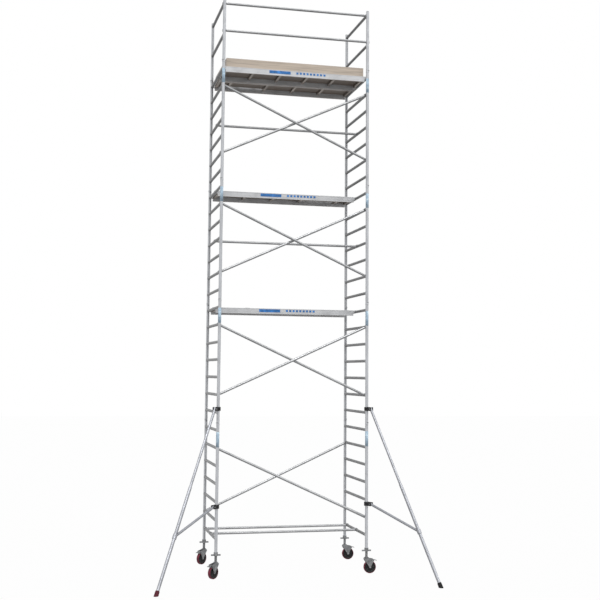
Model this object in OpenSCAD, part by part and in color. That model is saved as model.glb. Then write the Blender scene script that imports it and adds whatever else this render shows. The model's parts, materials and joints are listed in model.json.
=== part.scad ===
// Mobile aluminium scaffold tower on castors, in millimetres.
// X runs along the bay, -Y is the side with the outriggers, Z is up.
// The origin is on the ground, midway between the four legs.

/* [Tower] */
// Bay length between the end frames, post axis to post axis
bay_l = 2450; // [2000:10:3000]
// Width of an end frame, post axis to post axis
frame_w = 1300; // [1290:5:1500]
// Height of the lowest frames above the ground
base_h = 400; // [390:5:440]

/* [Ladder frames] */
// Rungs in each ladder frame
rungs = 7; // [7:1:7]
// Spacing of the rungs
rung_pitch = 280; // [270:1:300]
// Height of the first rung above the foot of its frame
first_rung = 200; // [180:1:210]
// Outer diameter of the uprights
tube_d = 50; // [49:0.5:52]
// Wall of the uprights
tube_wall = 2.5; // [2:0.1:3]
// Diameter of the rungs
rung_d = 46; // [42:1:47]
// Wall of the rungs
rung_wall = 2; // [1.5:0.1:3]
// Reach of a spigot into the tube above and below a frame joint
spigot_h = 80; // [60:1:100]

/* [Guard frames] */
// Height of a guard frame
guard_h = 1070; // [1050:5:1200]
// Height of its middle rail
guard_mid = 480; // [450:5:490]
// Height of its top rail
guard_top = 1010; // [980:5:1020]
// Height of the clamped middle rail above the guard frame's own middle rail
rail_lift = 55; // [50:1:80]

/* [Spring clips] */
// Diameter of a clip's pin
clip_d = 8; // [6:0.5:10]
// Diameter of a clip's spring wire
wire_d = 6; // [4:0.5:6]
// Height of a clip above the frame joint
clip_z = 40; // [30:1:50]

/* [Braces and rails] */
// Diameter of the braces and rails
brace_d = 40; // [36:1:44]
// Wall of the braces and rails
brace_wall = 2; // [1.5:0.1:3]
// Thickness of a claw round its rung
claw_t = 8; // [6:0.5:9]
// Width of a claw along its rung
claw_w = 36; // [30:1:40]
// Distance from a rung's axis to the end of the brace tube
claw_reach = 44; // [40:1:50]
// Length of a claw's plug inside the brace tube
claw_plug = 45; // [30:1:60]
// Distance of the outer braces from the post axes
brace_inset = 52; // [50:1:56]
// Spacing between two braces that cross
brace_step = 54; // [48:1:60]
// Offset of the handrails and the middle base brace in front of the centre
handrail_y = 50; // [48:1:80]
// Offset of the rear base brace behind the centre
base_brace_y = 500; // [400:10:560]

/* [Platforms] */
// Width of a platform
plat_w = 600; // [560:5:602]
// Distance of a platform's inner edge from the centre of the tower
plat_gap = 15; // [10:1:18]
// Width of a side beam
beam_w = 30; // [26:1:34]
// Height of a side beam
beam_h = 90; // [80:1:100]
// Distance from a rung's axis to the end of a side beam
beam_setback = 42; // [40:1:50]
// Height of the walking surface above the rung's axis
deck_top = 26; // [20:1:28]
// Thickness of the plywood
deck_t = 12; // [9:1:15]
// Width of a cross member
cross_w = 40; // [30:1:50]
// Height of a cross member
cross_h = 36; // [30:1:45]
// Thickness of a hook over its rung
hook_t = 6; // [5:0.5:8]

/* [Hatches] */
// Length of a hatch along the bay
hatch_l = 620; // [560:5:680]
// Distance of a hatch's middle from the centre of the bay
hatch_x = 640; // [560:5:660]
// Diameter of a hinge pin
hinge_d = 8; // [6:0.5:10]
// Wall of a hinge knuckle round its pin
knuckle_t = 5; // [4:0.5:6]
// Distance of the hinge pin from the side beam
hinge_inset = 28; // [27:1:40]
// Width of a hinge knuckle
knuckle_w = 60; // [40:1:80]

/* [Toe boards] */
// Height of the toe boards
toe_h = 150; // [140:5:200]
// Thickness of the toe boards
toe_t = 20; // [15:1:25]
// Distance of the end boards from the post axes
toe_inset = 75; // [75:1:90]

/* [Legs] */
// Diameter of a jack leg
leg_d = 38; // [34:0.5:40]
// Wall of a jack leg
leg_wall = 5; // [4:0.5:6]
// Length of a jack leg inside its upright
leg_in = 300; // [260:5:340]
// Diameter of the wing nut's collar
nut_d = 66; // [60:1:72]
// Height of the wing nut
nut_h = 52; // [45:1:60]
// Span of the wing nut's two wings
wing_span = 150; // [130:1:170]
// Width of a wing
wing_w = 18; // [14:1:22]
// Height of a wing
wing_h = 22; // [16:1:26]

/* [Castors] */
// Diameter of a wheel
wheel_d = 200; // [190:1:204]
// Width of a tyre
tyre_w = 48; // [44:1:52]
// Depth of a tyre's tread
tyre_t = 20; // [16:1:24]
// Height of the joint between leg and castor
castor_h = 240; // [238:1:250]
// Trail of the wheel behind the swivel axis
trail = 55; // [50:1:65]
// Inner half width of a fork
fork_in = 30; // [28:0.5:34]
// Thickness of a fork's cheeks
cheek_t = 5; // [4:0.5:6]
// Diameter of an axle
axle_d = 12; // [10:0.5:14]
// Diameter of a king pin
king_d = 16; // [14:0.5:20]
// Diameter of a swivel head
head_d = 76; // [72:1:80]
// Height of a swivel head
head_h = 26; // [22:1:28]
// Distance of the pedal's pin behind the axle
pedal_x = 50; // [46:1:54]
// Length of a brake pedal
pedal_l = 64; // [50:1:80]
// Direction of the trail of the left castors
turn_left = 219; // [0:1:359]
// Direction of the trail of the right castors
turn_right = 0; // [0:1:359]

/* [Outriggers] */
// Reach of a foot from its post
reach = 1540; // [1400:10:1650]
// Height of the upper clamps
clamp_high = 2620; // [2618:1:2630]
// Height of the lower clamps
clamp_low = 1100; // [1060:1:1102]
// Height of a clamp
clamp_h = 60; // [50:1:62]
// Wall of a clamp round its post
clamp_t = 16; // [12:1:20]
// Distance from the post axis to a clamp's bolt
bolt_r = 92; // [90:1:110]
// Diameter of a clamp's bolt
bolt_d = 12; // [10:0.5:14]
// Diameter of the upper leg tube
upper_d = 42; // [38:1:43]
// Diameter of the lower leg tube
lower_d = 50; // [49:1:56]
// Wall of the leg tubes
legs_wall = 3; // [2.5:0.1:3]
// Distance along the leg to the top of the lower tube
step_s = 1320; // [1200:10:1400]
// Length of the upper tube inside the lower tube
overlap_s = 500; // [400:10:600]
// Distance along the leg to the arm's collar
collar_s = 2100; // [1950:10:2200]
// Length of the arm's collar
collar_l = 70; // [50:1:90]
// Diameter of the arm
arm_d = 40; // [36:1:42]
// Diameter of a foot pad
pad_d = 80; // [70:1:100]
// Height of a foot pad
pad_h = 22; // [18:1:28]
// Swing of the left outrigger from the bay's line
swing_left = 48; // [20:1:80]
// Swing of the right outrigger from the bay's line
swing_right = 60; // [20:1:80]

/* [Clearances] */
// Gap at a welded or riveted seat
seat_gap = 0.2; // [0.1:0.05:0.4]
// Gap between pieces that slide or swing past each other
run_gap = 0.3; // [0.25:0.05:0.5]
// Gap of a pin in its bore
pin_gap = 0.1; // [0.05:0.01:0.15]

/* [Hidden] */
$fn = 48;
LEVELS = 4;
frame_h = rungs * rung_pitch;
post_x = bay_l / 2;
post_y = frame_w / 2;
tube_bore = tube_d - 2 * tube_wall;
guard_z = base_h + LEVELS * frame_h;
brace_bore = brace_d - 2 * brace_wall;
beam_end = post_x - beam_setback;
cross_top = deck_top - deck_t;
deck_z = rung_z(28) + deck_top;
hinge_y = plat_w - beam_w - hinge_inset;
hinge_z = deck_top + hinge_d / 2 + knuckle_t + 0.5;
knuckle_r = hinge_d / 2 + knuckle_t;
hatch_seat = 10;
wheel_r = wheel_d / 2;
fork_out = fork_in + cheek_t;
pedal_z = castor_h - 25;
shoe_gap = 0.5;
flange_h = 12;
leg_slope = atan2(clamp_high, reach - bolt_r);
leg_len = norm([clamp_high, reach - bolt_r]);
ankle_h = 35;
leg_end = leg_len - ankle_h / sin(leg_slope);
collar_r = bolt_r + collar_s * cos(leg_slope);
collar_z = clamp_high - collar_s * sin(leg_slope);
arm_l = norm([collar_r - bolt_r, clamp_low - collar_z]);
arm_slope = atan2(clamp_low - collar_z, collar_r - bolt_r);
ear_in = max(upper_d, arm_d) / 2 + 1;
ear_t = 6;

NODES = [
    "ladder_frame_left_1", "ladder_frame_left_2", "ladder_frame_left_3", "ladder_frame_left_4",
    "ladder_frame_right_1", "ladder_frame_right_2", "ladder_frame_right_3", "ladder_frame_right_4",
    "guard_frame_left", "guard_frame_right", "spring_clips",
    "platform_frame_low", "platform_frame_middle", "platform_frame_top_front", "platform_frame_top_rear",
    "deck_low", "deck_middle", "deck_top_front", "deck_top_rear",
    "hatch_low", "hatch_middle", "hatch_top", "toe_boards",
    "diagonal_braces_1", "diagonal_braces_2", "diagonal_braces_3", "diagonal_braces_4",
    "handrails", "base_braces", "guard_rails",
    "jack_leg_front_left", "jack_leg_front_right", "jack_leg_rear_left", "jack_leg_rear_right",
    "wing_nut_front_left", "wing_nut_front_right", "wing_nut_rear_left", "wing_nut_rear_right",
    "castor_fork_front_left", "castor_fork_front_right", "castor_fork_rear_left", "castor_fork_rear_right",
    "wheel_front_left", "wheel_front_right", "wheel_rear_left", "wheel_rear_right",
    "brake_pedal_front_left", "brake_pedal_front_right", "brake_pedal_rear_left", "brake_pedal_rear_right",
    "outrigger_clamps_left", "outrigger_clamps_right", "outrigger_upper_leg_left", "outrigger_upper_leg_right",
    "outrigger_arm_left", "outrigger_arm_right", "outrigger_lower_leg_left", "outrigger_lower_leg_right",
    "outrigger_foot_left", "outrigger_foot_right"
];
node = "all";

// Height of rung k, counted from 1 at the bottom of the tower
function rung_z(k) = base_h + first_rung + (k - 1) * rung_pitch;

// True when the named node is to be drawn
function wanted(name) = node == "all" || node == name;

module tube(h, d, wall) {
    difference() {
        cylinder(h = h, d = d);
        translate([0, 0, -1]) cylinder(h = h + 2, d = d - 2 * wall);
    }
}

// Bar along Y, centred on the origin
module bar_y(h, d) {
    rotate([90, 0, 0]) cylinder(h = h, d = d, center = true);
}

module clip_hole() {
    translate([0, 0, clip_z]) bar_y(tube_d + 10, clip_d + 2 * seat_gap);
}

// Upright tube, with a hole for the spring clip where it stands on a spigot
module upright(h, on_spigot) {
    difference() {
        tube(h, tube_d, tube_wall);
        if (on_spigot) clip_hole();
    }
}

// Joint pin fixed in the top of an upright
module spigot() {
    difference() {
        translate([0, 0, -spigot_h]) cylinder(h = 2 * spigot_h, d = tube_bore - 2 * seat_gap);
        clip_hole();
    }
}

// Rung between two uprights, cut to their round faces
module rung() {
    difference() {
        bar_y(frame_w, rung_d);
        bar_y(frame_w + 2, rung_d - 2 * rung_wall);
        for (s = [-1, 1])
            translate([0, s * post_y, -rung_d]) cylinder(h = 2 * rung_d, d = tube_d + 2 * seat_gap);
    }
}

module ladder_frame(side, level) {
    color("silver")
    translate([side * post_x, 0, base_h + (level - 1) * frame_h]) {
        for (s = [-1, 1])
            translate([0, s * post_y, 0]) {
                upright(frame_h, level > 1);
                translate([0, 0, frame_h]) spigot();
            }
        for (k = [0 : rungs - 1])
            translate([0, 0, first_rung + k * rung_pitch]) rung();
    }
}

module guard_frame(side) {
    color("silver")
    translate([side * post_x, 0, guard_z]) {
        for (s = [-1, 1])
            translate([0, s * post_y, 0]) upright(guard_h, true);
        for (z = [guard_mid, guard_top])
            translate([0, 0, z]) rung();
    }
}

// Pin through a frame joint, with a spring bow round the outside of the tube
module spring_clip() {
    bow_r = tube_d / 2 + wire_d / 2 + 2;
    bar_y(2 * bow_r + wire_d + 2, clip_d);
    rotate([0, 0, -90]) rotate_extrude(angle = 180) translate([bow_r, 0]) circle(d = wire_d);
}

module spring_clips() {
    color("dimgray")
    for (side = [-1, 1], s = [-1, 1], level = [1 : LEVELS])
        translate([side * post_x, s * post_y, base_h + level * frame_h + clip_z])
            rotate([0, 0, side > 0 ? 0 : 180]) spring_clip();
}

// Claw over a bar of diameter d along Y, with its plug along +X
module claw(d) {
    outer = d / 2 + run_gap + claw_t;
    difference() {
        union() {
            bar_y(claw_w, 2 * outer);
            rotate([0, 90, 0]) cylinder(h = claw_reach + claw_plug, d = brace_bore - 2 * seat_gap);
        }
        bar_y(claw_w + brace_d, d + 2 * run_gap);
        translate([-outer - 1, -claw_w, -outer - 1])
            cube([outer + 1 + d / 2 + run_gap, 2 * claw_w, outer + 1]);
    }
}

// Tube with a claw at each end, from the origin along +X over a length l
module clawed_tube(l, d) {
    claw(d);
    translate([l, 0, 0]) mirror([1, 0, 0]) claw(d);
    translate([claw_reach, 0, 0]) rotate([0, 90, 0]) tube(l - 2 * claw_reach, brace_d, brace_wall);
}

// Brace between a rung of the left frame and a rung of the right frame
module brace(left_z, right_z, y) {
    rise = right_z - left_z;
    translate([-post_x, y, left_z]) rotate([0, -atan2(rise, bay_l), 0]) clawed_tube(norm([rise, bay_l]), rung_d);
}

module diagonal_braces(level) {
    low = rung_z((level - 1) * rungs + 2);
    high = rung_z((level - 1) * rungs + 6);
    front = -(post_y - brace_inset);
    behind = front + brace_step;
    color("lightgray") {
        brace(high, low, level % 2 == 0 && level < LEVELS ? behind : front);
        brace(low, high, level == 1 ? -front : (level == 2 ? front : behind));
    }
}

module handrails() {
    color("lightgray")
    for (k = [18, 25])
        brace(rung_z(k), rung_z(k), -handrail_y);
}

module base_braces() {
    color("lightgray")
    for (y = [-handrail_y, base_brace_y])
        brace(rung_z(1), rung_z(1), y);
}

module guard_rails() {
    color("lightgray") {
        brace(guard_z + guard_top, guard_z + guard_top, -(post_y - brace_inset));
        translate([-post_x, -post_y, guard_z + guard_mid + rail_lift]) rotate([-90, 0, 0]) clawed_tube(bay_l, tube_d);
    }
}

// Hook over a rung: the profile stands in X and Z, with the rung's axis at the origin
module hook() {
    inner = rung_d / 2 + run_gap;
    translate([0, beam_w, 0]) rotate([90, 0, 0]) linear_extrude(beam_w) difference() {
        union() {
            circle(r = inner + hook_t);
            translate([0, -inner]) square([beam_setback + 1, 2 * inner]);
        }
        circle(r = inner);
        translate([-2 * inner, -2 * inner]) square([3 * inner, 2 * inner - 5]);
    }
}

// Side beam of a platform with a hook at each end
module side_beam() {
    translate([-beam_end, 0, deck_top - beam_h]) cube([2 * beam_end, beam_w, beam_h]);
    for (s = [0, 1])
        mirror([s, 0, 0]) translate([-post_x, 0, 0]) hook();
}

// Middles of the cross members of a platform whose hatch is on the left, or of one with no hatch
function cross_places(hatched) =
    let (edge = hatch_l / 2 + cross_w / 2 - hatch_seat, start = -hatch_x + edge, last = beam_end - cross_w / 2)
    hatched
        ? concat([-last, -hatch_x - edge], [for (k = [0 : 3]) start + k * (last - start) / 3])
        : [for (k = [0 : 5]) -last + k * 2 * last / 5];

// Hinge pin of a hatch, held by a plate at each end
module hinge_pin() {
    plate = 10;
    end_x = hatch_l / 2 + plate;
    translate([0, hinge_y, hinge_z]) rotate([0, 90, 0]) cylinder(h = 2 * end_x, d = hinge_d, center = true);
    for (s = [-1, 1])
        translate([s * end_x - plate / 2, hinge_y - knuckle_r, deck_top + seat_gap])
            cube([plate, plat_w - hinge_y + knuckle_r, hinge_z - deck_top + knuckle_r]);
}

// Aluminium frame of a platform, with its front edge on Y = 0; hatch is -1, 0 or 1
module platform_frame(hatch) {
    color("gainsboro") {
        for (y = [0, plat_w - beam_w])
            translate([0, y, 0]) side_beam();
        for (x = cross_places(hatch != 0))
            translate([(hatch > 0 ? -x : x) - cross_w / 2, beam_w + seat_gap, cross_top - cross_h])
                cube([cross_w, plat_w - 2 * beam_w - 2 * seat_gap, cross_h]);
        if (hatch != 0) translate([hatch * hatch_x, 0, 0]) hinge_pin();
    }
}

module deck_panel(x0, x1) {
    translate([x0, beam_w + seat_gap, cross_top])
        cube([x1 - x0, plat_w - 2 * beam_w - 2 * seat_gap, deck_t]);
}

// Fixed plywood of a platform
module deck(hatch) {
    joint = 2;
    color("burlywood")
    if (hatch == 0) deck_panel(-beam_end, beam_end);
    else mirror([hatch > 0 ? 1 : 0, 0, 0]) {
        deck_panel(-beam_end, -hatch_x - hatch_l / 2 - joint);
        deck_panel(-hatch_x + hatch_l / 2 + joint, beam_end);
    }
}

// Plywood hatch with two knuckles on its hinge pin
module hatch(side) {
    color("burlywood")
    translate([side * hatch_x, 0, 0]) difference() {
        union() {
            translate([-hatch_l / 2, beam_w + 2, cross_top + run_gap])
                cube([hatch_l, hinge_y - beam_w - 2, deck_t - run_gap]);
            for (s = [-1, 1])
                translate([s * hatch_l / 4 - knuckle_w / 2, hinge_y, hinge_z]) {
                    rotate([0, 90, 0]) cylinder(h = knuckle_w, r = knuckle_r);
                    translate([0, -4 * knuckle_r, deck_top - 2 - hinge_z])
                        cube([knuckle_w, 4 * knuckle_r, hinge_z - deck_top + 2]);
                }
        }
        translate([0, hinge_y, hinge_z]) rotate([0, 90, 0])
            cylinder(h = hatch_l, d = hinge_d + 2 * pin_gap, center = true);
    }
}

// Puts a platform's piece on rung k, in the rear half or the front half of the tower
module on_rung(k, rear) {
    translate([0, rear ? plat_gap : -plat_gap - plat_w, rung_z(k)]) children();
}

module toe_boards() {
    front = -(plat_gap + plat_w - beam_w);
    end = post_x - toe_inset;
    color("tan") {
        translate([-end - toe_t, front, deck_z]) cube([2 * (end + toe_t), toe_t, toe_h]);
        for (s = [-1, 1])
            translate([s * (end + toe_t / 2) - toe_t / 2, front + toe_t + seat_gap, deck_z])
                cube([toe_t, plat_gap + plat_w - front - toe_t - seat_gap, toe_h]);
    }
}

// Puts a leg's piece under its corner post
module at_corner(side, face) {
    translate([side * post_x, face * post_y, 0]) children();
}

module jack_leg() {
    color("lightslategray") difference() {
        union() {
            translate([0, 0, castor_h]) cylinder(h = base_h + leg_in - castor_h, d = leg_d);
            translate([0, 0, castor_h]) cylinder(h = flange_h, d = head_d);
            translate([0, 0, castor_h - head_h + 2]) cylinder(h = head_h, d = king_d);
        }
        translate([0, 0, castor_h + 2 * flange_h]) cylinder(h = base_h + leg_in, d = leg_d - 2 * leg_wall);
    }
}

module wing_nut() {
    color("gray") translate([0, 0, base_h - seat_gap - nut_h]) difference() {
        union() {
            cylinder(h = nut_h, d = nut_d);
            translate([-wing_span / 2, -wing_w / 2, 0]) cube([wing_span, wing_w, wing_h]);
        }
        translate([0, 0, -1]) cylinder(h = nut_h + 2, d = leg_d + 2 * run_gap);
    }
}

// Turns a castor's piece to its trail; the trail runs along +X before that
module castor_turn(side) {
    rotate([0, 0, side < 0 ? turn_left : turn_right]) children();
}

// Side outline of a fork's cheek
module cheek_outline() {
    polygon([
        [-head_d / 2, castor_h - run_gap], [-head_d / 2, castor_h - head_h], [trail - axle_d, wheel_r],
        [trail + axle_d, wheel_r], [trail + pedal_x + 10, pedal_z - 10], [trail + pedal_x + 10, pedal_z + 10],
        [head_d / 2, castor_h - run_gap]
    ]);
    translate([trail, wheel_r]) circle(d = 3 * axle_d);
}

module castor_fork() {
    color("slategray") {
        difference() {
            union() {
                translate([0, 0, castor_h - head_h]) cylinder(h = head_h - run_gap, d = head_d);
                translate([-head_d / 2, -fork_out, castor_h - head_h]) cube([head_d, 2 * fork_out, 10]);
                for (y = [-fork_in, fork_out])
                    translate([0, y, 0]) rotate([90, 0, 0]) linear_extrude(cheek_t) cheek_outline();
            }
            translate([0, 0, castor_h - head_h - 1]) cylinder(h = head_h + 2, d = king_d + 2 * pin_gap);
        }
        translate([trail, 0, wheel_r]) bar_y(2 * fork_out + 12, axle_d);
        translate([trail + pedal_x, 0, pedal_z]) bar_y(2 * fork_out + 4, hinge_d);
    }
}

// Wheel about Y: rounded tyre, dished core and hub
module wheel() {
    rim = wheel_r - tyre_t;
    hub_w = 2 * fork_in - 2;
    edge = 6;
    color("firebrick")
    translate([trail, 0, wheel_r]) rotate([90, 0, 0]) rotate_extrude() polygon([
        [axle_d / 2 + pin_gap, -hub_w / 2], [axle_d + 6, -hub_w / 2], [axle_d + 8, -tyre_w / 2 + 8],
        [rim - 4, -tyre_w / 2 + 8], [rim, -tyre_w / 2], [wheel_r - edge, -tyre_w / 2],
        [wheel_r, -tyre_w / 2 + edge], [wheel_r, tyre_w / 2 - edge], [wheel_r - edge, tyre_w / 2],
        [rim, tyre_w / 2], [rim - 4, tyre_w / 2 - 8], [axle_d + 8, tyre_w / 2 - 8],
        [axle_d + 6, hub_w / 2], [axle_d / 2 + pin_gap, hub_w / 2]
    ]);
}

// Pedal on its pin, with the brake shoe held against the tyre
module brake_pedal() {
    width = 2 * fork_in - 8;
    boss_r = hinge_d / 2 + 5;
    color("dimgray")
    translate([trail + pedal_x, width / 2, pedal_z]) rotate([90, 0, 0]) linear_extrude(width) difference() {
        union() {
            circle(r = boss_r);
            rotate(-14) translate([0, -4]) square([pedal_l, 8]);
            translate([0, -30]) square([18, 30]);
        }
        circle(d = hinge_d + 2 * pin_gap);
        translate([-pedal_x, wheel_r - pedal_z]) circle(r = wheel_r + shoe_gap);
    }
}

// Puts an outrigger on its front post, swung out from the bay's line
module outrigger_place(side) {
    translate([side * post_x, -post_y, 0])
        rotate([0, 0, side < 0 ? 180 + swing_left : -swing_right]) children();
}

// Lays a piece along the outrigger's leg, with its Z running down from the upper bolt
module along_leg() {
    translate([bolt_r, 0, clamp_high]) rotate([0, 90 + leg_slope, 0]) children();
}

module clamp() {
    difference() {
        union() {
            translate([0, 0, -clamp_h / 2]) cylinder(h = clamp_h, d = tube_d + 2 * clamp_t);
            for (y = [-ear_in - ear_t, ear_in])
                translate([tube_d / 2 + clamp_t / 2, y, -clamp_h / 2])
                    cube([bolt_r - tube_d / 2 - clamp_t / 2 + 2 * bolt_d, ear_t, clamp_h]);
        }
        translate([0, 0, -clamp_h]) cylinder(h = 2 * clamp_h, d = tube_d + 2 * run_gap);
    }
    translate([bolt_r, 0, 0]) bar_y(2 * (ear_in + ear_t) + 16, bolt_d);
}

module outrigger_clamps(side) {
    color("black") outrigger_place(side)
    for (z = [clamp_low, clamp_high])
        translate([0, 0, z]) clamp();
}

module outrigger_upper_leg(side) {
    color("silver") outrigger_place(side) along_leg() difference() {
        translate([0, 0, -2 * bolt_d]) tube(step_s + overlap_s + 2 * bolt_d, upper_d, legs_wall);
        bar_y(2 * upper_d, bolt_d + 2 * seat_gap);
    }
}

// Arm from the lower clamp to the collar that the lower leg slides in
module outrigger_arm(side) {
    color("silver") outrigger_place(side) difference() {
        union() {
            translate([bolt_r, 0, clamp_low]) rotate([0, 90 + arm_slope, 0])
                translate([0, 0, -2 * bolt_d]) cylinder(h = arm_l + 2 * bolt_d, d = arm_d);
            along_leg() translate([0, 0, collar_s - collar_l / 2])
                cylinder(h = collar_l, d = lower_d + 2 * run_gap + 16);
        }
        translate([bolt_r, 0, clamp_low]) rotate([0, 90 + arm_slope, 0])
            translate([0, 0, -3 * bolt_d]) cylinder(h = arm_l - lower_d, d = arm_d - 2 * legs_wall);
        translate([bolt_r, 0, clamp_low]) bar_y(2 * arm_d, bolt_d + 2 * seat_gap);
        along_leg() translate([0, 0, collar_s - collar_l]) cylinder(h = 2 * collar_l, d = lower_d + 2 * run_gap);
    }
}

module outrigger_lower_leg(side) {
    color("silver") outrigger_place(side) along_leg() difference() {
        translate([0, 0, step_s]) cylinder(h = leg_end - step_s, d = lower_d);
        translate([0, 0, step_s - 1]) cylinder(h = leg_end - step_s - lower_d, d = upper_d + 2 * run_gap);
    }
}

module outrigger_foot(side) {
    sleeve = 70;
    color("maroon") outrigger_place(side) difference() {
        union() {
            along_leg() translate([0, 0, leg_end - sleeve]) cylinder(h = sleeve + 8, d = lower_d + 14);
            translate([reach, 0, 0]) cylinder(h = pad_h, d = pad_d);
        }
        along_leg() translate([0, 0, leg_end - 2 * sleeve]) cylinder(h = 2 * sleeve + seat_gap, d = lower_d + 2 * seat_gap);
    }
}

SIDES = [["left", -1], ["right", 1]];
FACES = [["front", -1], ["rear", 1]];

for (s = SIDES, level = [1 : LEVELS])
    if (wanted(str("ladder_frame_", s[0], "_", level))) ladder_frame(s[1], level);
for (s = SIDES)
    if (wanted(str("guard_frame_", s[0]))) guard_frame(s[1]);
if (wanted("spring_clips")) spring_clips();
if (wanted("platform_frame_low")) on_rung(14, true) platform_frame(-1);
if (wanted("platform_frame_middle")) on_rung(21, true) platform_frame(1);
if (wanted("platform_frame_top_front")) on_rung(28, false) platform_frame(0);
if (wanted("platform_frame_top_rear")) on_rung(28, true) platform_frame(-1);
if (wanted("deck_low")) on_rung(14, true) deck(-1);
if (wanted("deck_middle")) on_rung(21, true) deck(1);
if (wanted("deck_top_front")) on_rung(28, false) deck(0);
if (wanted("deck_top_rear")) on_rung(28, true) deck(-1);
if (wanted("hatch_low")) on_rung(14, true) hatch(-1);
if (wanted("hatch_middle")) on_rung(21, true) hatch(1);
if (wanted("hatch_top")) on_rung(28, true) hatch(-1);
if (wanted("toe_boards")) toe_boards();
for (level = [1 : LEVELS])
    if (wanted(str("diagonal_braces_", level))) diagonal_braces(level);
if (wanted("handrails")) handrails();
if (wanted("base_braces")) base_braces();
if (wanted("guard_rails")) guard_rails();
for (f = FACES, s = SIDES) {
    if (wanted(str("jack_leg_", f[0], "_", s[0]))) at_corner(s[1], f[1]) jack_leg();
    if (wanted(str("wing_nut_", f[0], "_", s[0]))) at_corner(s[1], f[1]) wing_nut();
    if (wanted(str("castor_fork_", f[0], "_", s[0]))) at_corner(s[1], f[1]) castor_turn(s[1]) castor_fork();
    if (wanted(str("wheel_", f[0], "_", s[0]))) at_corner(s[1], f[1]) castor_turn(s[1]) wheel();
    if (wanted(str("brake_pedal_", f[0], "_", s[0]))) at_corner(s[1], f[1]) castor_turn(s[1]) brake_pedal();
}
for (s = SIDES) {
    if (wanted(str("outrigger_clamps_", s[0]))) outrigger_clamps(s[1]);
    if (wanted(str("outrigger_upper_leg_", s[0]))) outrigger_upper_leg(s[1]);
    if (wanted(str("outrigger_arm_", s[0]))) outrigger_arm(s[1]);
    if (wanted(str("outrigger_lower_leg_", s[0]))) outrigger_lower_leg(s[1]);
    if (wanted(str("outrigger_foot_", s[0]))) outrigger_foot(s[1]);
}
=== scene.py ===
"""Looks of a mobile aluminium scaffold tower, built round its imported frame."""
import json
import math

import bmesh
import bpy
import numpy as np
from bpy.props import FloatProperty, FloatVectorProperty, PointerProperty
from mathutils import Matrix, Quaternion, Vector


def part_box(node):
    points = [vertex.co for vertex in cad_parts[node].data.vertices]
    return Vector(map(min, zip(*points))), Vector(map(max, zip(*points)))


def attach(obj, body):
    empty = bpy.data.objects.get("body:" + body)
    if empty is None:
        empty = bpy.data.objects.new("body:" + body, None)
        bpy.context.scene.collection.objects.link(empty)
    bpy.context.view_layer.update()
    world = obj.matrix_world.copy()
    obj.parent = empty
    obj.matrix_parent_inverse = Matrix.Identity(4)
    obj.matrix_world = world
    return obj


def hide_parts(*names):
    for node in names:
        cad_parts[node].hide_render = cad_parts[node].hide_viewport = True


bl_info = {
    "name": "Scaffold Tower",
    "version": (1, 0, 0),
    "blender": (4, 5, 0),
    "location": "View3D > Sidebar > Tower",
    "description": "Dresses a mobile scaffold tower with its finishes and small parts",
    "category": "Object",
}

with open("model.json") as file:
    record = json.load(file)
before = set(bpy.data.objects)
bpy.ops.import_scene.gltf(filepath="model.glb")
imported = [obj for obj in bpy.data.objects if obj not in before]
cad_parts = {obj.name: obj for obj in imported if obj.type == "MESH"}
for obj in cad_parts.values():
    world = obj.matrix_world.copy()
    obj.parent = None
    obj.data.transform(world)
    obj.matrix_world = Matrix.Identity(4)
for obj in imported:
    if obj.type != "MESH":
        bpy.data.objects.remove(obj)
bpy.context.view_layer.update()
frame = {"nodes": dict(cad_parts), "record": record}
JOINTS = {joint["name"]: joint for joint in frame["record"]["behaviour"]["joints"]}
MOUNTS = {mount["name"]: mount for mount in frame["record"]["mounts"]}
CORNERS = [face + "_" + side for face in ("front", "rear") for side in ("left", "right")]
SIDES = ("left", "right")
LADDERS = [f"ladder_frame_{side}_{level}" for side in SIDES for level in range(1, 5)]
PLATFORMS = ("low", "middle", "top_front", "top_rear")
ALONG, BACK, UP, FRONT = (1, 0, 0), (0, 1, 0), (0, 0, 1), (0, -1, 0)


def length(label, about, metres):
    """A size in metres that a user may change."""
    return FloatProperty(name=label, description=about, default=metres, min=0.0, unit="LENGTH")


def tint(label, about, rgb):
    """A colour that a user may change."""
    return FloatVectorProperty(
        name=label, description=about, default=rgb, size=3, subtype="COLOR", min=0, max=1)


class TowerSizes(bpy.types.PropertyGroup):
    """Sizes of the small parts."""
    upright: length("Upright", "Radius of an upright", 0.025)
    rung: length("Rung", "Radius of a rung", 0.023)
    weld: length("Weld", "Radius of a weld bead", 0.0035)
    rim: length("Rim", "Radius where tyre meets core", 0.0895)
    wheel: length("Wheel", "Radius of a wheel", 0.100)
    tyre: length("Tyre", "Width of a tyre", 0.048)
    groove: length("Groove", "Depth of the tread's grooves", 0.0018)
    leg: length("Leg", "Radius of a jack leg under its thread", 0.019)
    thread: length("Thread", "Depth of a jack leg's thread", 0.0022)
    pitch: length("Pitch", "Pitch of a jack leg's thread", 0.008)
    lip: length("Lip", "Thickness of a side beam's lips", 0.0025)
    panel: length("Panel", "Length of the blue panel on a beam", 0.36)
    band: length("Band", "Length of the pale band on a post", 0.24)
    foot: length("Foot", "Radius of an outrigger's rubber foot", 0.032)
    nut: length("Nut", "Radius of a bolt's head", 0.011)


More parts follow.
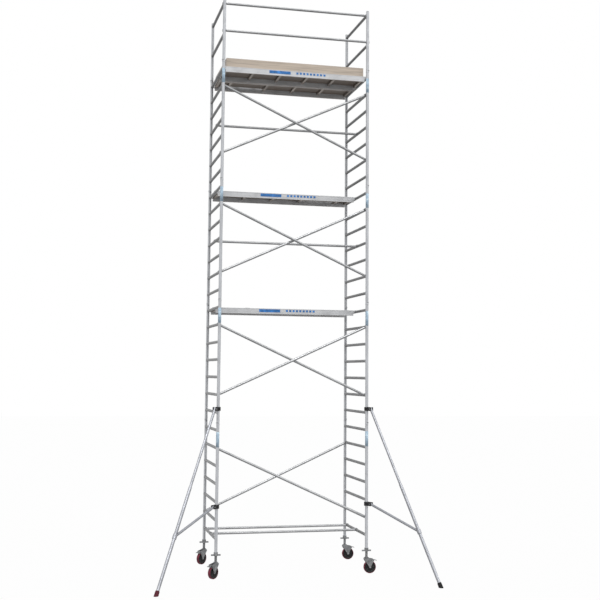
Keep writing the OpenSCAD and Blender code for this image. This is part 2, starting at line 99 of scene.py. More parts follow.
class TowerColours(bpy.types.PropertyGroup):
    """Colours of the finishes."""
    upright: tint("Upright", "Extruded aluminium of the uprights", (0.52, 0.53, 0.55))
    rung: tint("Rung", "Duller aluminium of the rungs", (0.19, 0.192, 0.196))
    brace: tint("Brace", "Aluminium of braces and rails", (0.50, 0.505, 0.515))
    outrigger: tint("Outrigger", "Aluminium of the outriggers", (0.40, 0.41, 0.44))
    beam: tint("Beam", "Aluminium of the platform beams", (0.56, 0.565, 0.575))
    deck: tint("Deck", "Film on the plywood", (0.15, 0.115, 0.09))
    board: tint("Board", "Varnished toe boards", (0.52, 0.44, 0.36))
    zinc: tint("Zinc", "Zinc plated steel", (0.24, 0.245, 0.25))
    casting: tint("Casting", "Black coated castings", (0.010, 0.010, 0.011))
    tyre: tint("Tyre", "Dark red tread", (0.16, 0.022, 0.040))
    core: tint("Core", "Black wheel core", (0.006, 0.006, 0.0065))
    # Under: painted shade with grime, the darker brown of the platforms' undersides.
    under: tint("Under", "Grimy underside of the platforms", (0.24, 0.205, 0.175))
    panel: tint("Panel", "Plain blue panel", (0.05, 0.20, 0.52))
    band: tint("Band", "Pale blue band", (0.46, 0.60, 0.72))


def sizes():
    return bpy.context.scene.tower_sizes


def colours():
    return bpy.context.scene.tower_colours


# Meshes

def grid_faces(rows, columns, wrap_rows, wrap_columns):
    """Quads of a grid: point (i, j) joins (i+1, j), (i+1, j+1) and (i, j+1)."""
    i, j = np.meshgrid(
        np.arange(rows if wrap_rows else rows - 1),
        np.arange(columns if wrap_columns else columns - 1), indexing="ij")
    below, beside = (i + 1) % rows, (j + 1) % columns
    corners = [i * columns + j, below * columns + j, below * columns + beside, i * columns + beside]
    return np.stack(corners, -1).reshape(-1, 4)


def add_piece(name, grids, material, body, wrap=(False, True), smooth=True):
    """Makes one object from k equal grids of points, k x rows x columns x 3, merged where they meet."""
    grids = np.asarray(grids, float)
    count, rows, columns, _ = grids.shape
    faces = grid_faces(rows, columns, *wrap)
    faces = (faces[None] + (np.arange(count) * rows * columns)[:, None, None]).reshape(-1, 4)
    mesh = bpy.data.meshes.new(name)
    mesh.from_pydata(grids.reshape(-1, 3).tolist(), [], faces.tolist())
    made = bmesh.new()
    made.from_mesh(mesh)
    bmesh.ops.remove_doubles(made, verts=made.verts, dist=1e-6)
    bmesh.ops.recalc_face_normals(made, faces=made.faces)
    made.to_mesh(mesh)
    made.free()
    mesh.polygons.foreach_set("use_smooth", np.full(len(mesh.polygons), smooth))
    mesh.materials.append(material)
    piece = bpy.data.objects.new(name, mesh)
    bpy.context.scene.collection.objects.link(piece)
    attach(piece, body)
    return piece


def revolve(profile, steps, start=0.0):
    """Profile of (radius, height) pairs turned about Z: x = r cos a, y = r sin a, z = h."""
    profile = np.asarray(profile, float)
    angle = start + np.arange(steps) * 2 * np.pi / steps
    radius, height = profile[:, :1], profile[:, 1:]
    return np.stack([radius * np.cos(angle), radius * np.sin(angle), height + 0 * angle], -1)


def place(grid, origin, axis):
    """Turns a grid's Z onto axis and moves its origin."""
    turn = np.array(Vector((0, 0, 1)).rotation_difference(Vector(axis)).to_matrix())
    return np.asarray(grid) @ turn.T + np.asarray(origin, float)


def rounded(width, height, radius, corner_steps=5):
    """Outline of a rectangle with round corners: each corner's centre plus radius (cos a, sin a)."""
    quarter = np.linspace(0, np.pi / 2, corner_steps)
    angle = (quarter[None] + np.arange(4)[:, None] * np.pi / 2).ravel()
    signs = np.repeat(np.array([[1, 1], [-1, 1], [-1, -1], [1, -1]]), corner_steps, axis=0)
    centre = signs * (np.array([width, height]) / 2 - radius)
    return centre + radius * np.stack([np.cos(angle), np.sin(angle)], -1)


def slab(centre, across, up, outward, width, height, depth, radius):
    """Rounded plate: its outline grows from the middle of one face, round the rim, to the other."""
    outline = rounded(width, height, radius)
    soft = 0.3 * depth
    shrink = 1 - soft / (0.5 * min(width, height))
    scale = np.array([0, shrink, 1, 1, shrink, 0])[:, None, None]
    rise = np.array([0.5, 0.5, 0.5 - 0.3, -0.5 + 0.3, -0.5, -0.5])[:, None, None] * depth
    flat = outline[None] * scale
    along = [np.asarray(v, float) for v in (across, up, outward)]
    return np.asarray(centre) + flat[..., :1] * along[0] + flat[..., 1:] * along[1] + rise * along[2]


# Materials

class Finish:
    """Node material that is built up from a Principled shader and Object coordinates."""

    def __init__(self, name, metallic, roughness):
        self.material = bpy.data.materials.new(name)
        self.material.use_nodes = True
        self.tree = self.material.node_tree
        self.shader = self.tree.nodes["Principled BSDF"]
        self.shader.inputs["Metallic"].default_value = metallic
        self.shader.inputs["Roughness"].default_value = roughness
        self.place = self.tree.nodes.new("ShaderNodeTexCoord").outputs["Object"]

    def node(self, kind, **values):
        made = self.tree.nodes.new(kind)
        for key, value in values.items():
            made.inputs[key].default_value = value
        return made

    def link(self, source, target):
        self.tree.links.new(source, target)

    def noise(self, stretch, scale, detail=4.0):
        """Noise whose grain is drawn out along the axes with a small stretch."""
        mapping = self.node("ShaderNodeMapping", Scale=stretch)
        noise = self.node("ShaderNodeTexNoise", Scale=scale, Detail=detail)
        self.link(self.place, mapping.inputs["Vector"])
        self.link(mapping.outputs["Vector"], noise.inputs["Vector"])
        return noise.outputs["Fac"]

    def ramp(self, factor, stops):
        """Colour ramp of (place, colour) stops."""
        ramp = self.tree.nodes.new("ShaderNodeValToRGB")
        points = ramp.color_ramp.elements
        while len(points) < len(stops):
            points.new(0.5)
        for point, (where, colour) in zip(points, stops):
            point.position = where
            point.color = (*colour, 1)
        self.link(factor, ramp.inputs["Fac"])
        return ramp.outputs["Color"]

    def tones(self, factor, colour, dark, light, places=(0.3, 0.5, 0.72)):
        """Ramp from a darker tone of the colour, through the colour, to a lighter one."""
        return self.ramp(factor, list(zip(places, (shade(colour, dark), colour, shade(colour, light)))))

    def paint(self, colour):
        self.link(colour, self.shader.inputs["Base Color"])

    def painted_underside_shade(self, colour, dark):
        """Painted shade: the colour, times dark where the surface looks down, rising to full where it
        looks up.
        """
        split = self.tree.nodes.new("ShaderNodeSeparateXYZ")
        self.link(self.tree.nodes.new("ShaderNodeNewGeometry").outputs["Normal"], split.inputs["Vector"])
        amount = self.node("ShaderNodeMapRange")
        amount.inputs["From Min"].default_value = -0.55
        amount.inputs["From Max"].default_value = 0.45
        amount.inputs["To Min"].default_value = dark
        self.link(split.outputs["Z"], amount.inputs["Value"])
        scaled = self.tree.nodes.new("ShaderNodeVectorMath")
        scaled.operation = "SCALE"
        self.link(colour, scaled.inputs[0])
        self.link(amount.outputs["Result"], scaled.inputs["Scale"])
        return scaled.outputs["Vector"]

    def wear(self, factor, low, high):
        """Roughness between low and high, by the factor."""
        spread = self.node("ShaderNodeMapRange")
        spread.inputs["To Min"].default_value = low
        spread.inputs["To Max"].default_value = high
        self.link(factor, spread.inputs["Value"])
        self.link(spread.outputs["Result"], self.shader.inputs["Roughness"])

    def bump(self, height, strength, distance):
        bump = self.node("ShaderNodeBump", Strength=strength, Distance=distance)
        self.link(height, bump.inputs["Height"])
        self.link(bump.outputs["Normal"], self.shader.inputs["Normal"])

    def math(self, operation, first, second):
        """Math node on a socket and a second socket or number."""
        made = self.tree.nodes.new("ShaderNodeMath")
        made.operation = operation
        self.link(first, made.inputs[0])
        if isinstance(second, float):
            made.inputs[1].default_value = second
        else:
            self.link(second, made.inputs[1])
        return made.outputs["Value"]

    def mix(self, factor, first, second):
        mixed = self.tree.nodes.new("ShaderNodeMix")
        mixed.data_type = "RGBA"
        self.link(factor, mixed.inputs[0])
        self.link(first, mixed.inputs[6])
        self.link(second, mixed.inputs[7])
        return mixed.outputs[2]


def shade(colour, factor):
    return tuple(min(1.0, channel * factor) for channel in colour)


def drawn_metal(name, colour, stretch, roughness=0.36, dark=1.0):
    """Extruded aluminium: long draw lines, cloudy oxide and painted shade that darkens the underside."""
    finish = Finish(name, 0.5, roughness)
    lines = finish.noise(stretch, 60.0)
    cloud = finish.noise((1, 1, 1), 5.0, 6.0)
    # Painted shade: the tones darken by the dark factor where the surface looks down.
    finish.paint(finish.painted_underside_shade(finish.tones(cloud, colour, 0.84, 1.08), dark))
    finish.wear(lines, roughness - 0.08, roughness + 0.14)
    finish.bump(lines, 0.12, 0.0008)
    return finish.material


def frame_metal(name, upright, rung, edge):
    """Aluminium of a ladder frame: bright uprights outside the edge distance, duller rungs inside it, with
    painted shade under the rungs.
    """
    finish = Finish(name, 0.5, 0.38)
    lines = finish.noise((1, 1, 0.04), 70.0)
    cloud = finish.noise((1, 1, 1), 6.0, 6.0)
    bright = finish.tones(cloud, upright, 0.86, 1.08, (0.3, 0.5, 0.7))
    # Rungs: their tones, darkened by painted shade where they look down.
    dull = finish.painted_underside_shade(finish.tones(cloud, rung, 0.78, 1.2, (0.3, 0.52, 0.7)), 0.45)
    split = finish.tree.nodes.new("ShaderNodeSeparateXYZ")
    finish.link(finish.place, split.inputs["Vector"])
    inside = finish.math("LESS_THAN", finish.math("ABSOLUTE", split.outputs["Y"], 0.0), edge)
    finish.paint(finish.mix(inside, bright, dull))
    finish.wear(lines, 0.30, 0.50)
    finish.bump(lines, 0.12, 0.0008)
    return finish.material


def platform_metal(name, colour, under, low, high):
    """Aluminium of a platform: bright side beams, and a darker brown below and from low to high in Y,
    which is painted shade with grime.
    """
    finish = Finish(name, 0.6, 0.42)
    lines = finish.noise((0.03, 1, 1), 60.0)
    cloud = finish.noise((1, 1, 1), 5.0, 6.0)
    bright = finish.tones(cloud, colour, 0.84, 1.08)
    # Darker brown tone: painted shade with grime under the deck and on faces that look down.
    shade_and_grime = finish.tones(cloud, under, 0.7, 1.3, (0.3, 0.5, 0.7))
    facing = finish.tree.nodes.new("ShaderNodeNewGeometry").outputs["Normal"]
    looks_down = -0.5
    tests = []
    for source, axis, test, limit in (
            (finish.place, "Y", "GREATER_THAN", low), (finish.place, "Y", "LESS_THAN", high),
            (facing, "Z", "LESS_THAN", looks_down)):
        split = finish.tree.nodes.new("ShaderNodeSeparateXYZ")
        finish.link(source, split.inputs["Vector"])
        tests.append(finish.math(test, split.outputs[axis], limit))
    between = finish.math("MULTIPLY", tests[0], tests[1])
    finish.paint(finish.mix(finish.math("MAXIMUM", between, tests[2]), bright, shade_and_grime))
    finish.wear(lines, 0.34, 0.56)
    finish.bump(lines, 0.12, 0.0008)
    return finish.material


def plated_steel(name, colour):
    """Zinc plate: fine spangle with a dull bloom."""
    finish = Finish(name, 0.8, 0.45)
    spangle = finish.tree.nodes.new("ShaderNodeTexVoronoi")
    spangle.inputs["Scale"].default_value = 180.0
    finish.link(finish.place, spangle.inputs["Vector"])
    bloom = finish.noise((1, 1, 1), 24.0, 6.0)
    finish.paint(finish.tones(bloom, colour, 0.6, 1.35, (0.3, 0.55, 0.75)))
    finish.wear(spangle.outputs["Distance"], 0.32, 0.6)
    finish.bump(bloom, 0.2, 0.0006)
    return finish.material


def moulded(name, colour, roughness, grain=260.0):
    """Rubber, plastic or coated casting: fine pebble and rubbed patches."""
    finish = Finish(name, 0.0, roughness)
    finish.shader.inputs["Specular IOR Level"].default_value = 0.3
    pebble = finish.noise((1, 1, 1), grain, 3.0)
    rubbed = finish.noise((1, 1, 1), 18.0, 5.0)
    finish.paint(finish.tones(rubbed, colour, 0.7, 1.9, (0.32, 0.55, 0.78)))
    finish.wear(rubbed, roughness - 0.1, min(1.0, roughness + 0.12))
    finish.bump(pebble, 0.35, 0.0006)
    return finish.material


def timber(name, colour, roughness):
    """Board with its grain along the bay: long dark and light streaks and open pores."""
    finish = Finish(name, 0.0, roughness)
    streak = finish.noise((0.35, 6.0, 6.0), 7.0, 8.0)
    pores = finish.noise((1.2, 30.0, 30.0), 30.0, 3.0)
    finish.paint(finish.tones(streak, colour, 0.72, 1.16, (0.28, 0.48, 0.7)))
    finish.wear(pores, roughness - 0.08, roughness + 0.15)
    finish.bump(pores, 0.25, 0.0006)
    return finish.material


def film_plywood(name, colour):
    """Film faced plywood: pressed mesh on the face over a faint grain."""
    finish = Finish(name, 0.0, 0.55)
    grain = finish.noise((0.5, 5.0, 5.0), 6.0, 7.0)
    mesh = finish.tree.nodes.new("ShaderNodeTexVoronoi")
    mesh.inputs["Scale"].default_value = 220.0
    finish.link(finish.place, mesh.inputs["Vector"])
    finish.paint(finish.tones(grain, colour, 0.72, 1.35))
    finish.wear(grain, 0.45, 0.68)
    finish.bump(mesh.outputs["Distance"], 0.3, 0.001)
    return finish.material


def finish_of(name, make, *args):
    """The named material, made at its first use."""
    return bpy.data.materials.get(name) or make(name, *args)


def dress(node, material):
    """Gives a node of the frame a finish."""
    slots = frame["nodes"][node].data.materials
    slots.clear()
    slots.append(material)


# Finishes of the frame's own nodes

class TOWER_OT_finishes(bpy.types.Operator):
    """Gives every node of the frame its finish"""
    bl_idname = "tower.finishes"
    bl_label = "Finishes"

    def execute(self, context):
        tone, size = colours(), sizes()
        post_y = 0.5 * (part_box(LADDERS[0])[1][1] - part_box(LADDERS[0])[0][1]) - size.upright
        ladder = frame_metal("ladder_aluminium", tone.upright, tone.rung, post_y - 0.98 * size.upright)
        # The last numbers, 0.45 and 0.4, are painted shade on the undersides of braces and outriggers.
        brace = drawn_metal("brace_aluminium", tone.brace, (0.04, 1, 1), 0.36, 0.45)
        leg = drawn_metal("outrigger_aluminium", tone.outrigger, (0.5, 0.5, 0.2), 0.36, 0.4)
        zinc = plated_steel("zinc_plate", tone.zinc)
        wire = plated_steel("spring_wire", shade(tone.zinc, 0.7))
        deck = film_plywood("film_plywood", tone.deck)
        board = timber("toe_board_timber", tone.board, 0.5)
        casting = moulded("black_casting", tone.casting, 0.45)
        foot = {"left": moulded("red_rubber", shade(tone.tyre, 0.55), 0.7),
                "right": moulded("black_rubber", tone.core, 0.7)}
        starts = {
            "ladder_frame": ladder, "guard_frame": ladder, "spring_clips": wire,
            "deck": deck, "hatch": deck, "toe_boards": board,
            "diagonal_braces": brace, "handrails": brace, "base_braces": brace, "guard_rails": brace,
            "jack_leg": zinc, "wing_nut": zinc, "castor_fork": zinc, "brake_pedal": zinc,
            "outrigger_clamps": casting, "outrigger_upper_leg": leg, "outrigger_arm": leg,
            "outrigger_lower_leg": leg, "outrigger_foot_left": foot["left"],
            "outrigger_foot_right": foot["right"]}
        for node in frame["nodes"]:
            for start, material in starts.items():
                if node.startswith(start):
                    dress(node, material)
        beam_w = 0.042
        for name in PLATFORMS:
            low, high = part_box("platform_frame_" + name)
            inner = low[1] + beam_w, high[1] - beam_w
            metal = platform_metal("platform_" + name, tone.beam, tone.under, *inner)
            dress("platform_frame_" + name, metal)
        return {"FINISHED"}


# Small parts

class TOWER_OT_wheels(bpy.types.Operator):
    """Grooved red tyres on ribbed black cores, in place of the plain wheels"""
    bl_idname = "tower.wheels"
    bl_label = "Wheels"

    def execute(self, context):
        size, tone = sizes(), colours()
        red = finish_of("tyre_rubber", moulded, tone.tyre, 0.55)
        black = finish_of("wheel_core", moulded, tone.core, 0.5)
        half, round_edge = 0.5 * size.tyre, 0.009
        bend = np.linspace(0, np.pi / 2, 7)
        shoulder = np.stack([size.wheel - round_edge * (1 - np.cos(bend)),
                             half - round_edge * (1 - np.sin(bend))], -1)
        across = np.linspace(half - round_edge, round_edge - half, 61)[1:-1]
        grooves = (np.abs(np.abs(across) - 0.2 * size.tyre) < 0.0016) | (np.abs(across) < 0.0016)
        tread = np.stack([size.wheel - size.groove * grooves, across], -1)
        top = np.concatenate([[[size.rim, half - 0.002]], shoulder[::-1], tread])
        profile = np.concatenate([top, (shoulder * [1, -1]), [[size.rim, 0.002 - half]]])
        for corner in CORNERS:
            joint = JOINTS["wheel_spin_" + corner]
            body = "wheel_" + corner
            ring = place(revolve(profile, 72), joint["pos_m"], joint["axis"])
            tyre = add_piece("tyre_" + corner, [ring], red, body, wrap=(True, True))
            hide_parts("wheel_" + corner)
            core = place(self.core(size), joint["pos_m"], joint["axis"])
            add_piece("wheel_core_" + corner, [core], black, body)
        return {"FINISHED"}

    def core(self, size):
        """Core about Z: the web between hub and rim rises and falls as cos 8a, so it has eight ribs."""
        ribs = 8
        radius = np.array([0.0062, 0.017, 0.019, 0.024, 0.040, 0.060, 0.072, 0.075, size.rim])
        depth = np.array([0.028, 0.028, 0.026, 0.012, 0.010, 0.010, 0.012, 0.021, 0.0215])
        ribbed = np.array([0, 0, 0, 0.6, 1, 1, 0.6, 0, 0]) * 0.008
        angle = np.arange(96) * 2 * np.pi / 96
        wave = np.clip(1.6 * np.cos(ribs * angle) - 0.4, 0, 1)
        height = depth[:, None] + ribbed[:, None] * wave
        face = np.stack([radius[:, None] * np.cos(angle), radius[:, None] * np.sin(angle), height], -1)
        return np.concatenate([face * [1, 1, -1], face[::-1], face[:1] * [1, 1, -1]])


class TOWER_OT_threads(bpy.types.Operator):
    """Screw thread on the bare length of each jack leg"""
    bl_idname = "tower.threads"
    bl_label = "Leg threads"

    def execute(self, context):
        size = sizes()
        steel = finish_of("thread_steel", plated_steel, shade(colours().zinc, 0.9))
        for corner in CORNERS:
            low = JOINTS["castor_swivel_" + corner]["pos_m"]
            bottom, top = low[2] + 0.013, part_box("wing_nut_" + corner)[0][2] - 0.0005
            screw = self.screw(size, top - bottom) + np.array([low[0], low[1], bottom])
            add_piece("leg_thread_" + corner, [screw], steel, "leg_" + corner)
        return {"FINISHED"}

    def screw(self, size, height):
        """Thread: radius = leg + depth times a rounded ridge of (height / pitch - angle / turn)."""
        angle = np.arange(32) * 2 * np.pi / 32
        level = np.linspace(0, height, int(height / size.pitch * 10))
        phase = level[:, None] / size.pitch - angle / (2 * np.pi)
        ridge = np.clip(0.5 + 0.9 * np.cos(2 * np.pi * phase), 0, 1)
        radius = size.leg + 0.0003 + size.thread * ridge
        wall = np.stack([radius * np.cos(angle), radius * np.sin(angle), level[:, None] + 0 * angle], -1)
        bore = revolve([[size.leg + 0.0001, 0], [size.leg + 0.0001, height]], 32)
        return np.concatenate([bore[:1], wall, bore[1:], bore[:1]])


class TOWER_OT_welds(bpy.types.Operator):
    """Weld bead round both ends of every rung"""
    bl_idname = "tower.welds"
    bl_label = "Welds"

    def execute(self, context):
        metal = finish_of("weld_metal", drawn_metal, shade(colours().upright, 0.9), (1, 1, 1), 0.5)
        pitch, first, per_frame = 0.28, 0.2, 7
        guard_rises = 0.48, 1.01
        for side in SIDES:
            rails = []
            for level in range(1, 5):
                low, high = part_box(f"ladder_frame_{side}_{level}")
                x, start = 0.5 * (low[0] + high[0]), low[2] + first
                rails += [(x, start + k * pitch) for k in range(per_frame)]
            low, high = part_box("guard_frame_" + side)
            rails += [(0.5 * (low[0] + high[0]), low[2] + rise) for rise in guard_rises]
            post_y = 0.5 * (high[1] - low[1]) - sizes().upright
            bead = self.bead(sizes(), post_y)
            grids = [bead * [1, face, 1] + np.array([x, 0, z]) for x, z in rails for face in (-1, 1)]
            add_piece("rung_welds_" + side, grids, metal, "tower", wrap=(True, True))
        return {"FINISHED"}

    def bead(self, size, post_y):
        """Ring on the saddle where a rung meets its upright: y = post - sqrt(R^2 - x^2), x = r cos a."""
        angle = np.arange(20)[:, None] * 2 * np.pi / 20
        ring = np.arange(6)[None] * 2 * np.pi / 6
        radius = size.rung + size.weld * np.cos(ring)
        saddle = post_y - np.sqrt(size.upright ** 2 - (size.rung * np.cos(angle)) ** 2)
        return np.stack([radius * np.cos(angle), saddle - 0.6 * size.weld - size.weld * np.sin(ring),
                         radius * np.sin(angle)], -1)


class TOWER_OT_beam_trim(bpy.types.Operator):
    """Lips along the platform beams and plain blue panels on their fronts"""
    bl_idname = "tower.beam_trim"
    bl_label = "Beam trim"

    def execute(self, context):
        size, tone = sizes(), colours()
        metal = finish_of("beam_aluminium", drawn_metal, tone.beam, (0.03, 1, 1), 0.42)
        blue = finish_of("blue_panel", moulded, tone.panel, 0.4)
        hook_l, lip_h, beam_h = 0.075, 0.012, 0.090
        panel_x, panel_h, thick, corner = -0.275, 0.056, 0.002, 0.003
        square_x, square_step, square_w, square_h, squares = 0.02, 0.058, 0.036, 0.034, 9
        plates = [(panel_x, size.panel, panel_h)]
        plates += [(square_x + square_step * k, square_w, square_h) for k in range(squares)]
        for name in PLATFORMS:
            low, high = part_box("platform_frame_" + name)
            bottom, long = low[2], high[0] - low[0] - 2 * hook_l
            levels = ((0.5 * lip_h, 1.0), (beam_h - 0.5 * lip_h, 1.0), (0.36 * beam_h, 0.5))
            lips = []
            for y, out in ((low[1], -1), (high[1], 1)):
                for rise, thin in levels:
                    centre = (0, y + out * 0.5 * size.lip * thin, bottom + rise)
                    tall, deep = lip_h * thin, size.lip * thin
                    lips.append(slab(centre, ALONG, UP, (0, out, 0), long, tall, deep, 0.4 * tall))
            add_piece("beam_lips_" + name, lips, metal, "tower", smooth=False)
            if name != "top_rear":
                front, middle = low[1] - 0.0012, bottom + 0.62 * beam_h
                marks = [slab((x, front, middle), ALONG, UP, FRONT, wide, tall, thick, corner)
                         for x, wide, tall in plates]
                add_piece("blue_panel_" + name, marks, blue, "tower", smooth=False)
        return {"FINISHED"}


class TOWER_OT_post_trim(bpy.types.Operator):
    """Pale bands and joint rings on the posts, and caps on the guard posts"""
    bl_idname = "tower.post_trim"
    bl_label = "Post trim"

    def execute(self, context):
        size, tone = sizes(), colours()
        pale = finish_of("pale_band", moulded, tone.band, 0.45)
        grey = finish_of("post_cap_plastic", moulded, shade(tone.zinc, 0.5), 0.5)
        metal = bpy.data.materials["ladder_aluminium"]
        radius, half = size.upright, 0.5 * size.band
        band = self.sleeve(radius, half, 0.0007, 0.0)
        ring = self.sleeve(radius, 0.012, 0.0016, 0.002)
        cap = revolve([[0, 0.006], [0.010, 0.006], [0.018, 0.0045], [radius, 0.001], [radius, -0.001],
                       [0.0215, -0.0012], [0.0215, -0.012], [0, -0.012]], 32)
        bands, rings, caps = [], [], []
        for side in SIDES:
            low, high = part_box("guard_frame_" + side)
            x = 0.5 * (low[0] + high[0])
            for y in (low[1] + radius, high[1] - radius):
                caps.append(cap + np.array([x, y, high[2]]))
                for level in range(1, 5):
                    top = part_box(f"ladder_frame_{side}_{level}")[1][2] - 0.08
                    rings.append(ring + np.array([x, y, top + 0.018]))
                    if y < 0:
                        bands.append(band + np.array([x, y, top - 0.22]))
        add_piece("post_bands", bands, pale, "tower", wrap=(True, True))
        add_piece("joint_rings", rings, metal, "tower", wrap=(True, True))
        add_piece("post_caps", caps, grey, "tower")
        return {"FINISHED"}

    def sleeve(self, radius, half, proud, slope):
        """Thin ring on a post: it stands proud of the radius, and slopes in at both ends."""
        outside = radius + proud
        face = half - slope
        return revolve([[radius, -half], [outside, -face], [outside, face], [radius, half]], 32)


class TOWER_OT_fasteners(bpy.types.Operator):
    """Hexagon nuts on axles, pedal pins and outrigger bolts"""
    bl_idname = "tower.fasteners"
    bl_label = "Fasteners"

    def execute(self, context):
        steel = finish_of("nut_steel", plated_steel, shade(colours().zinc, 1.2))
        fork_half, pin_scale = 0.0352, 0.7
        bolt_out, clamp_half, bolt_scale, bolt_inset = 0.092, 0.0282, 1.1, 0.03
        for corner in CORNERS:
            spin, pedal = JOINTS["wheel_spin_" + corner], JOINTS["pedal_lift_" + corner]
            nuts = self.pair(spin["pos_m"], spin["axis"], fork_half, 1.0)
            nuts += self.pair(pedal["pos_m"], spin["axis"], fork_half, pin_scale)
            add_piece("castor_nuts_" + corner, nuts, steel, "castor_" + corner, smooth=False)
        for side in SIDES:
            post = np.array(JOINTS["outrigger_swing_" + side]["pos_m"])
            slide = np.array(JOINTS["outrigger_extend_" + side]["axis"])
            out = slide * [1, 1, 0] / np.linalg.norm(slide[:2])
            beside = np.cross(UP, out)
            low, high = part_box("outrigger_clamps_" + side)
            nuts = []
            for z in (low[2] + bolt_inset, high[2] - bolt_inset):
                centre = post * [1, 1, 0] + bolt_out * out + [0, 0, z]
                nuts += self.pair(centre, beside, clamp_half, bolt_scale)
            add_piece("outrigger_nuts_" + side, nuts, steel, "outrigger_" + side,
                      smooth=False)
        return {"FINISHED"}

    def pair(self, centre, axis, offset, scale):
        """Two six-sided heads, turned about the axis, one each way at the offset."""
        r = sizes().nut * scale
        head = revolve([[0, 0], [r, 0], [r, 0.0075], [0.86 * r, 0.009], [0, 0.009]], 6)
        axis = np.asarray(axis, float)
        return [place(head, np.asarray(centre) + way * offset * axis, way * axis) for way in (-1, 1)]


class TOWER_OT_feet(bpy.types.Operator):
    """Beaded rubber feet in line with the outrigger legs, in place of the plain ones"""
    bl_idname = "tower.feet"
    bl_label = "Feet"

    def execute(self, context):
        for side, rubber in (("left", "red_rubber"), ("right", "black_rubber")):
            ground, axis = MOUNTS["foot_" + side]["pos_m"], JOINTS["outrigger_extend_" + side]["axis"]
            boot = self.boot(sizes().foot, np.array(ground), np.array(axis))
            foot = add_piece("rubber_foot_" + side, [boot], bpy.data.materials[rubber],
                             "outrigger_leg_" + side)
            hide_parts("outrigger_foot_" + side)
        return {"FINISHED"}

    def boot(self, radius, ground, axis):
        """Rings about the leg's line, pulled along it so that the last ones lie flat on the ground."""
        axis = axis * -np.sign(axis[2])
        beside = np.cross([0, 0, 1], axis) / np.linalg.norm(axis[:2])
        over = np.cross(axis, beside)
        rings = np.array([[0.0, -0.078], [0.86, -0.078], [0.98, -0.074], [1.0, -0.069], [1.0, -0.058],
                          [1.04, -0.055], [1.04, -0.049], [1.0, -0.046], [1.02, -0.032], [1.05, -0.018],
                          [1.06, -0.006], [1.04, 0.0], [0.0, 0.0]])
        angle = np.arange(48) * 2 * np.pi / 48
        flat = np.cos(angle)[:, None] * beside + np.sin(angle)[:, None] * over
        circle = radius * rings[:, 0][:, None, None] * flat[None]
        flat_from, flat_over = -0.05, 0.044
        level = np.clip((rings[:, 1] - flat_from) / flat_over, 0, 1)[:, None]
        slide = rings[:, 1][:, None] - level * circle[..., 2] / axis[2]
        grid = ground + circle + slide[..., None] * axis
        grid[..., 2] = np.maximum(grid[..., 2], 0.0)
        return grid


class TOWER_OT_hatch_trim(bpy.types.Operator):
    """A black pull on each hatch"""
    bl_idname = "tower.hatch_trim"
    bl_label = "Hatch trim"

    def execute(self, context):
        black = finish_of("hatch_pull", moulded, colours().casting, 0.5)
        board_t, inset = 0.0117, 0.06
        for name in ("low", "middle", "top"):
            low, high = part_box("hatch_" + name)
            centre = np.array([0.5 * (low[0] + high[0]), low[1] + inset, low[2] + board_t])
            pull = slab(centre + [0, 0, 0.002], ALONG, BACK, UP, 0.14, 0.05, 0.004, 0.012)
            grip = slab(centre + [0, 0, 0.006], ALONG, BACK, UP, 0.09, 0.018, 0.005, 0.008)
            add_piece("hatch_pull_" + name, [pull, grip], black, "hatch_" + name)
        return {"FINISHED"}


# Stage

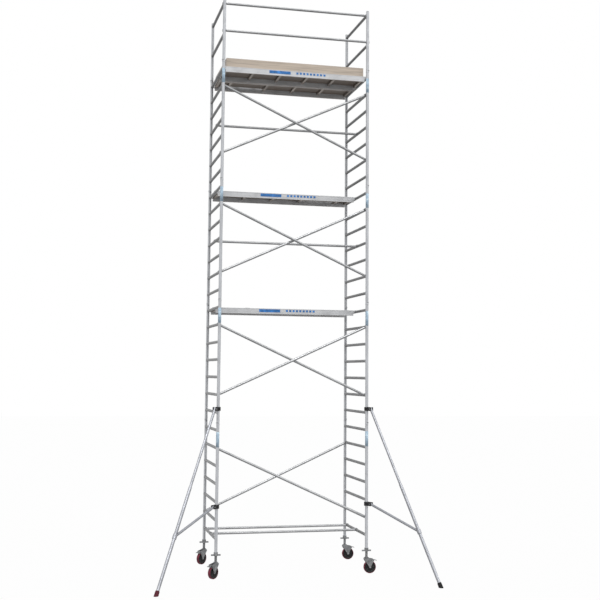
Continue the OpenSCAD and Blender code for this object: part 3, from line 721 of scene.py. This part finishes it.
class TOWER_OT_stage(bpy.types.Operator):
    """Pale floor, soft studio light and the camera"""
    bl_idname = "tower.stage"
    bl_label = "Stage"

    def execute(self, context):
        scene = context.scene
        scene.view_settings.view_transform = "Standard"
        self.camera(scene)
        self.floor(scene)
        self.world(scene)
        for name, turn, strength in (("key", (38, 12, -28), 1.5), ("fill", (55, -10, 60), 0.5)):
            lamp = bpy.data.lights.new(name, "SUN")
            lamp.energy, lamp.angle = strength, math.radians(25)
            holder = bpy.data.objects.new(name, lamp)
            holder.rotation_euler = [math.radians(a) for a in turn]
            scene.collection.objects.link(holder)
        return {"FINISHED"}

    def camera(self, scene):
        """Camera at the viewer's place: a turn vector in degrees, applied to a view along +Y."""
        place, turn = (-3.829, -17.385, 3.198), Vector((-5.730, -13.176, 1.163))
        level = Matrix(((1, 0, 0), (0, 0, -1), (0, 1, 0)))
        spin = Quaternion(turn.normalized(), math.radians(turn.length)).to_matrix()
        right, down, ahead = (spin @ level)
        data = bpy.data.cameras.new("camera")
        data.sensor_width, data.lens, data.shift_y = 36.0, 63.52, -0.0583
        data.clip_end = 200.0
        eye = bpy.data.objects.new("camera", data)
        eye.matrix_world = Matrix.Translation(place) @ Matrix((right, -down, -ahead)).transposed().to_4x4()
        scene.collection.objects.link(eye)
        scene.camera = eye

    def floor(self, scene):
        """Large pale square; to camera, mirror and glass rays it is mostly plain white."""
        reach = 60.0
        mesh = bpy.data.meshes.new("floor")
        corners = [(x * reach, y * reach, 0) for x, y in ((-1, -1), (1, -1), (1, 1), (-1, 1))]
        mesh.from_pydata(corners, [], [(0, 1, 2, 3)])
        material = bpy.data.materials.new("pale_floor")
        material.use_nodes = True
        tree = material.node_tree
        shader, output = tree.nodes["Principled BSDF"], tree.nodes["Material Output"]
        shader.inputs["Base Color"].default_value = (0.40, 0.40, 0.40, 1)
        shader.inputs["Roughness"].default_value = 0.9
        white = tree.nodes.new("ShaderNodeEmission")
        mix = tree.nodes.new("ShaderNodeMixShader")
        share = tree.nodes.new("ShaderNodeMath")
        share.operation = "MULTIPLY"
        share.inputs[1].default_value = 0.98
        tree.links.new(self.seen(tree), share.inputs[0])
        tree.links.new(share.outputs["Value"], mix.inputs["Fac"])
        tree.links.new(shader.outputs["BSDF"], mix.inputs[1])
        tree.links.new(white.outputs["Emission"], mix.inputs[2])
        tree.links.new(mix.outputs["Shader"], output.inputs["Surface"])
        mesh.materials.append(material)
        ground = bpy.data.objects.new("floor", mesh)
        scene.collection.objects.link(ground)

    def seen(self, tree):
        """One for camera, glossy and transmission rays, zero for the rest."""
        path = tree.nodes.new("ShaderNodeLightPath")
        total = path.outputs["Is Camera Ray"]
        for name in ("Is Glossy Ray", "Is Transmission Ray"):
            larger = tree.nodes.new("ShaderNodeMath")
            larger.operation = "MAXIMUM"
            tree.links.new(total, larger.inputs[0])
            tree.links.new(path.outputs[name], larger.inputs[1])
            total = larger.outputs["Value"]
        return total

    def world(self, scene):
        """Soft grey light all round, with plain white behind the object."""
        world = bpy.data.worlds.new("studio")
        scene.world = world
        world.use_nodes = True
        tree = world.node_tree
        light = tree.nodes["Background"]
        light.inputs["Color"].default_value = (0.95, 0.97, 1.0, 1)
        light.inputs["Strength"].default_value = 0.55
        white = tree.nodes.new("ShaderNodeBackground")
        white.inputs["Color"].default_value = (1, 1, 1, 1)
        mix = tree.nodes.new("ShaderNodeMixShader")
        tree.links.new(self.seen(tree), mix.inputs["Fac"])
        tree.links.new(light.outputs["Background"], mix.inputs[1])
        tree.links.new(white.outputs["Background"], mix.inputs[2])
        tree.links.new(mix.outputs["Shader"], tree.nodes["World Output"].inputs["Surface"])


class TOWER_PT_panel(bpy.types.Panel):
    """Lists the steps that dress the tower"""
    bl_idname = "TOWER_PT_panel"
    bl_label = "Scaffold Tower"
    bl_space_type = "VIEW_3D"
    bl_region_type = "UI"
    bl_category = "Tower"

    def draw(self, context):
        for operator in OPERATORS:
            self.layout.operator(operator.bl_idname)


OPERATORS = (TOWER_OT_stage, TOWER_OT_finishes, TOWER_OT_wheels, TOWER_OT_threads, TOWER_OT_welds,
             TOWER_OT_beam_trim, TOWER_OT_post_trim, TOWER_OT_fasteners, TOWER_OT_feet,
             TOWER_OT_hatch_trim)
CLASSES = (TowerSizes, TowerColours) + OPERATORS + (TOWER_PT_panel,)


def register():
    for made in CLASSES:
        bpy.utils.register_class(made)
    bpy.types.Scene.tower_sizes = PointerProperty(type=TowerSizes)
    bpy.types.Scene.tower_colours = PointerProperty(type=TowerColours)


def unregister():
    del bpy.types.Scene.tower_colours
    del bpy.types.Scene.tower_sizes
    for made in reversed(CLASSES):
        bpy.utils.unregister_class(made)


def main():
    """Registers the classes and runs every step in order."""
    register()
    for operator in OPERATORS:
        group, step = operator.bl_idname.split(".")
        getattr(getattr(bpy.ops, group), step)()


if __name__ == "__main__":
    main()
